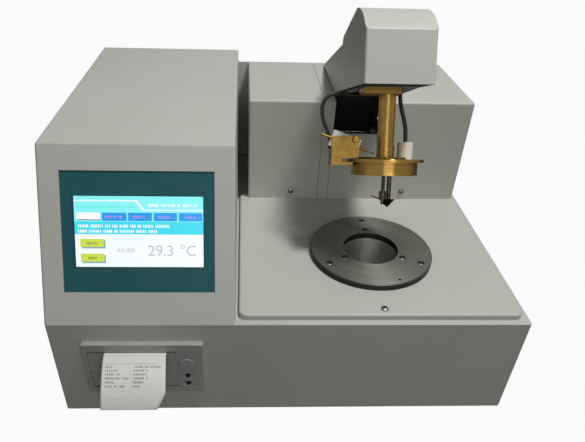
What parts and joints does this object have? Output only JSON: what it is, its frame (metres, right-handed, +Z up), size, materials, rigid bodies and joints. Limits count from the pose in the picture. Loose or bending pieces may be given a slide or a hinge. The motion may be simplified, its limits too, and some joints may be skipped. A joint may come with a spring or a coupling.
{
  "type": "closed-cup flash point tester",
  "caption": "Bench instrument with a sloping touch-screen console, a panel printer, a heated cup well and a motor-raised arm that lowers a lid with stirrer and igniter onto the cup.",
  "frame": {"origin": "on the bench, below the middle of the instrument's bounding box", "axes": "+X to the right as the user faces the screen, +Y away from the user, +Z up"},
  "size_m": [0.45, 0.4198, 0.3666],
  "materials": {
    "housing_paint": "satin light warm grey powder coat",
    "screen_plastic": "satin dark teal",
    "display": "gloss, lit",
    "module_steel": "zinc plated",
    "printer_plastic": "matte dark grey",
    "key_plastic": "matte grey",
    "paper": "smooth white thermal paper",
    "ring_steel": "dark turned steel",
    "well_steel": "polished",
    "heater_metal": "as cast",
    "ceramic_fibre": "soft white fibre",
    "brass": "satin turned",
    "white_ceramic": "matt white",
    "steel": "bright",
    "arm_steel": "matt black",
    "motor_black": "satin black",
    "bronze": "bronze",
    "black_plastic": "matt black",
    "lead_black": "matt black",
    "foot_rubber": "matt black",
    "board_green": "green lacquer",
    "screw_steel": "nickel plated"
  },
  "bodies": {
    "housing": {"chassis_shell": "housing_paint", "console_cover": "housing_paint", "bottom_plate": "module_steel", "feet": "foot_rubber", "rear_panel": "housing_paint", "case_screws": "screw_steel", "fan_frame": "black_plastic", "fan_guard": "screw_steel", "fan_screws": "screw_steel", "power_inlet": "black_plastic", "switch_housing": "black_plastic", "main_board": "board_green", "power_supply": "module_steel", "screen_bezel": "screen_plastic", "screen_glass": "display", "screen_module": "module_steel", "printer_bezel": "printer_plastic", "printer_body": "printer_plastic", "deck_plateau": "housing_paint", "stove_ring": "ring_steel", "ring_screws": "screw_steel", "cup_well": "well_steel", "heater_block": "heater_metal", "insulation_sleeve": "ceramic_fibre", "tower_cover_left": "housing_paint", "tower_cover_right": "housing_paint", "tower_centre": "housing_paint", "pivot_stand": "arm_steel", "pivot_bushes": "bronze", "lift_motor": "motor_black"},
    "arm": {"arm_cover": "housing_paint", "arm_frame": "arm_steel", "arm_shaft": "steel", "sector_gear": "steel", "column_bracket": "brass", "column": "brass", "lid": "brass", "stirrer_motor": "motor_black", "igniter_bracket": "brass", "igniter_pivot_screw": "brass", "detector_holder": "white_ceramic", "temperature_probe": "steel", "probe_gland": "brass", "igniter_lead": "lead_black", "detector_lead": "lead_black"},
    "stirrer": {"stirrer": "brass"},
    "shutter": {"shutter": "brass"},
    "igniter": {"igniter_block": "white_ceramic", "igniter_tube": "brass"},
    "lift_pinion": {"lift_pinion": "steel"},
    "printer_door": {"printer_door": "printer_plastic", "paper_strip": "paper"},
    "platen": {"platen_roller": "foot_rubber"},
    "paper_roll": {"paper_roll": "paper"},
    "printer_open_button": {"printer_open_button": "key_plastic"},
    "feed_key": {"feed_key": "key_plastic"},
    "select_key": {"select_key": "key_plastic"},
    "power_rocker": {"power_rocker": "black_plastic"},
    "fan_rotor": {"fan_rotor": "black_plastic"}
  },
  "joints": [
    {"name": "arm_lift", "type": "hinge", "parent": "housing", "child": "arm", "pos_m": [0.09, 0.13924, 0.1895], "axis": [1, 0, 0], "range_deg": [0, 25]},
    {"name": "pinion_turn", "type": "hinge", "parent": "housing", "child": "lift_pinion", "pos_m": [0.118, 0.13924, 0.1445], "axis": [1, 0, 0], "range_deg": [-100, 0]},
    {"name": "stirrer_turn", "type": "hinge", "parent": "arm", "child": "stirrer", "pos_m": [0.09, -0.05057, 0.24149], "axis": [0, 0.4226, 0.9063], "continuous": true},
    {"name": "shutter_turn", "type": "hinge", "parent": "arm", "child": "shutter", "pos_m": [0.09, -0.05057, 0.24149], "axis": [0, -0.4226, -0.9063], "range_deg": [0, 40]},
    {"name": "igniter_dip", "type": "hinge", "parent": "arm", "child": "igniter", "pos_m": [0.0597, -0.05003, 0.26088], "axis": [0, 0.9063, -0.4226], "range_deg": [0, 25]},
    {"name": "door_open", "type": "hinge", "parent": "housing", "child": "printer_door", "pos_m": [-0.1382, -0.16336, 0.0529], "axis": [1, 0, 0], "range_deg": [0, 70]},
    {"name": "platen_turn", "type": "hinge", "parent": "printer_door", "child": "platen", "pos_m": [-0.1457, -0.15636, 0.09], "axis": [1, 0, 0], "continuous": true},
    {"name": "roll_turn", "type": "hinge", "parent": "housing", "child": "paper_roll", "pos_m": [-0.1457, -0.12876, 0.072], "axis": [1, 0, 0], "continuous": true},
    {"name": "open_button_press", "type": "slide", "parent": "housing", "child": "printer_open_button", "axis": [0, 1, 0], "range_m": [0, 0.0012], "stiffness_N_per_m": 400},
    {"name": "feed_key_press", "type": "slide", "parent": "housing", "child": "feed_key", "axis": [0, 1, 0], "range_m": [0, 0.0006], "stiffness_N_per_m": 300},
    {"name": "select_key_press", "type": "slide", "parent": "housing", "child": "select_key", "axis": [0, 1, 0], "range_m": [0, 0.0006], "stiffness_N_per_m": 300},
    {"name": "rocker_tip", "type": "hinge", "parent": "housing", "child": "power_rocker", "pos_m": [-0.1, 0.20074, 0.074], "axis": [1, 0, 0], "range_deg": [-8, 0]},
    {"name": "fan_turn", "type": "hinge", "parent": "housing", "child": "fan_rotor", "pos_m": [0.15, 0.19374, 0.074], "axis": [0, 1, 0], "continuous": true}
  ],
  "couplings": [
    {"joint": "pinion_turn", "follows": "arm_lift", "ratio": -4},
    {"joint": "igniter_dip", "follows": "shutter_turn", "ratio": 0.625}
  ]
}
